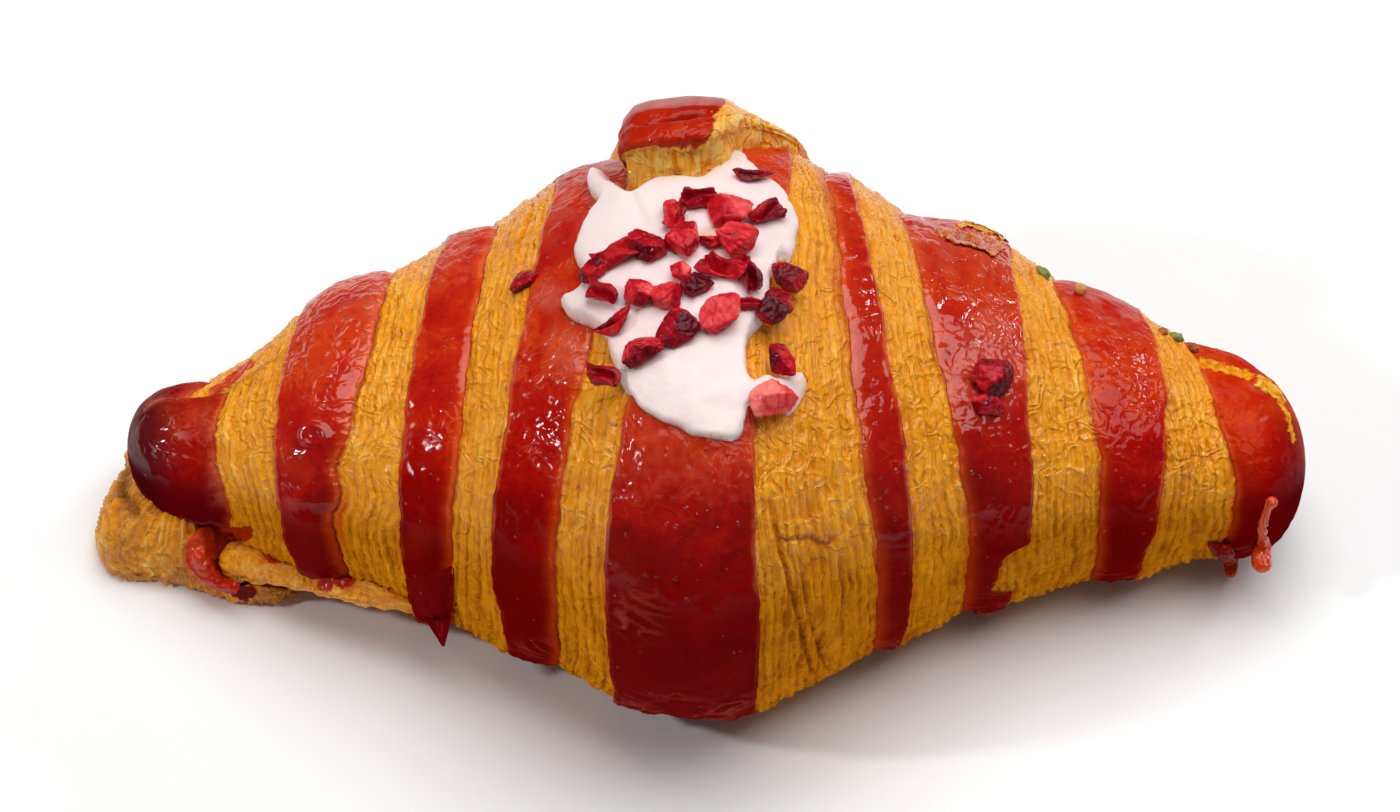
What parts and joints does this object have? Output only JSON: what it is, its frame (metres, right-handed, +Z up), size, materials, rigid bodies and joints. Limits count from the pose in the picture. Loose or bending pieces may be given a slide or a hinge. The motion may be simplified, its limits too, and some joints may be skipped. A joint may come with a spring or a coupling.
{
  "type": "croissant",
  "caption": "Straight baked croissant with alternating red and golden wraps, a pool of white icing on top and dried raspberry pieces.",
  "frame": {"origin": "bottom centre of the bounding box, on the plane the croissant rests on", "axes": "+X along the length of the roll, +Y towards the back, +Z up; the flat underside lies in Z = 0"},
  "size_m": [0.1694, 0.0858, 0.0639],
  "materials": {
    "baked_dough": "baked laminated dough: glossy dark red outer sheet and golden layered cut edges",
    "icing": "smooth set white icing, faintly pink, soft gloss",
    "raspberry": "freeze-dried raspberry, dark crimson to pink, waxy and wrinkled",
    "pistachio": "chopped pistachio, dull green",
    "browned_crumb": "browned dough crumb, rough",
    "sugar_bead": "small round sugar bead, soft gloss"
  },
  "bodies": {
    "root": {"croissant": "baked_dough", "icing": "icing", "raspberry_piece_01": "raspberry", "raspberry_piece_02": "raspberry", "raspberry_piece_03": "raspberry", "raspberry_piece_04": "raspberry", "raspberry_piece_05": "raspberry", "raspberry_piece_06": "raspberry", "raspberry_piece_07": "raspberry", "raspberry_piece_08": "raspberry", "raspberry_piece_09": "raspberry", "raspberry_piece_10": "raspberry", "raspberry_piece_11": "raspberry", "raspberry_piece_12": "raspberry", "raspberry_piece_13": "raspberry", "raspberry_piece_14": "raspberry", "raspberry_piece_15": "raspberry", "raspberry_piece_16": "raspberry", "raspberry_piece_17": "raspberry", "raspberry_piece_18": "raspberry", "raspberry_piece_19": "raspberry", "raspberry_piece_20": "raspberry", "raspberry_piece_21": "raspberry", "raspberry_piece_22": "raspberry", "raspberry_piece_23": "raspberry", "raspberry_piece_24": "raspberry", "raspberry_piece_25": "raspberry", "raspberry_piece_26": "raspberry", "raspberry_piece_27": "raspberry", "raspberry_piece_28": "raspberry", "raspberry_piece_29": "raspberry", "raspberry_piece_30": "raspberry", "raspberry_piece_31": "raspberry", "pistachio_crumb_1": "pistachio", "pistachio_crumb_2": "pistachio", "dough_crumb_1": "browned_crumb", "dough_crumb_2": "browned_crumb", "sugar_pearl": "sugar_bead"}
  },
  "joints": []
}
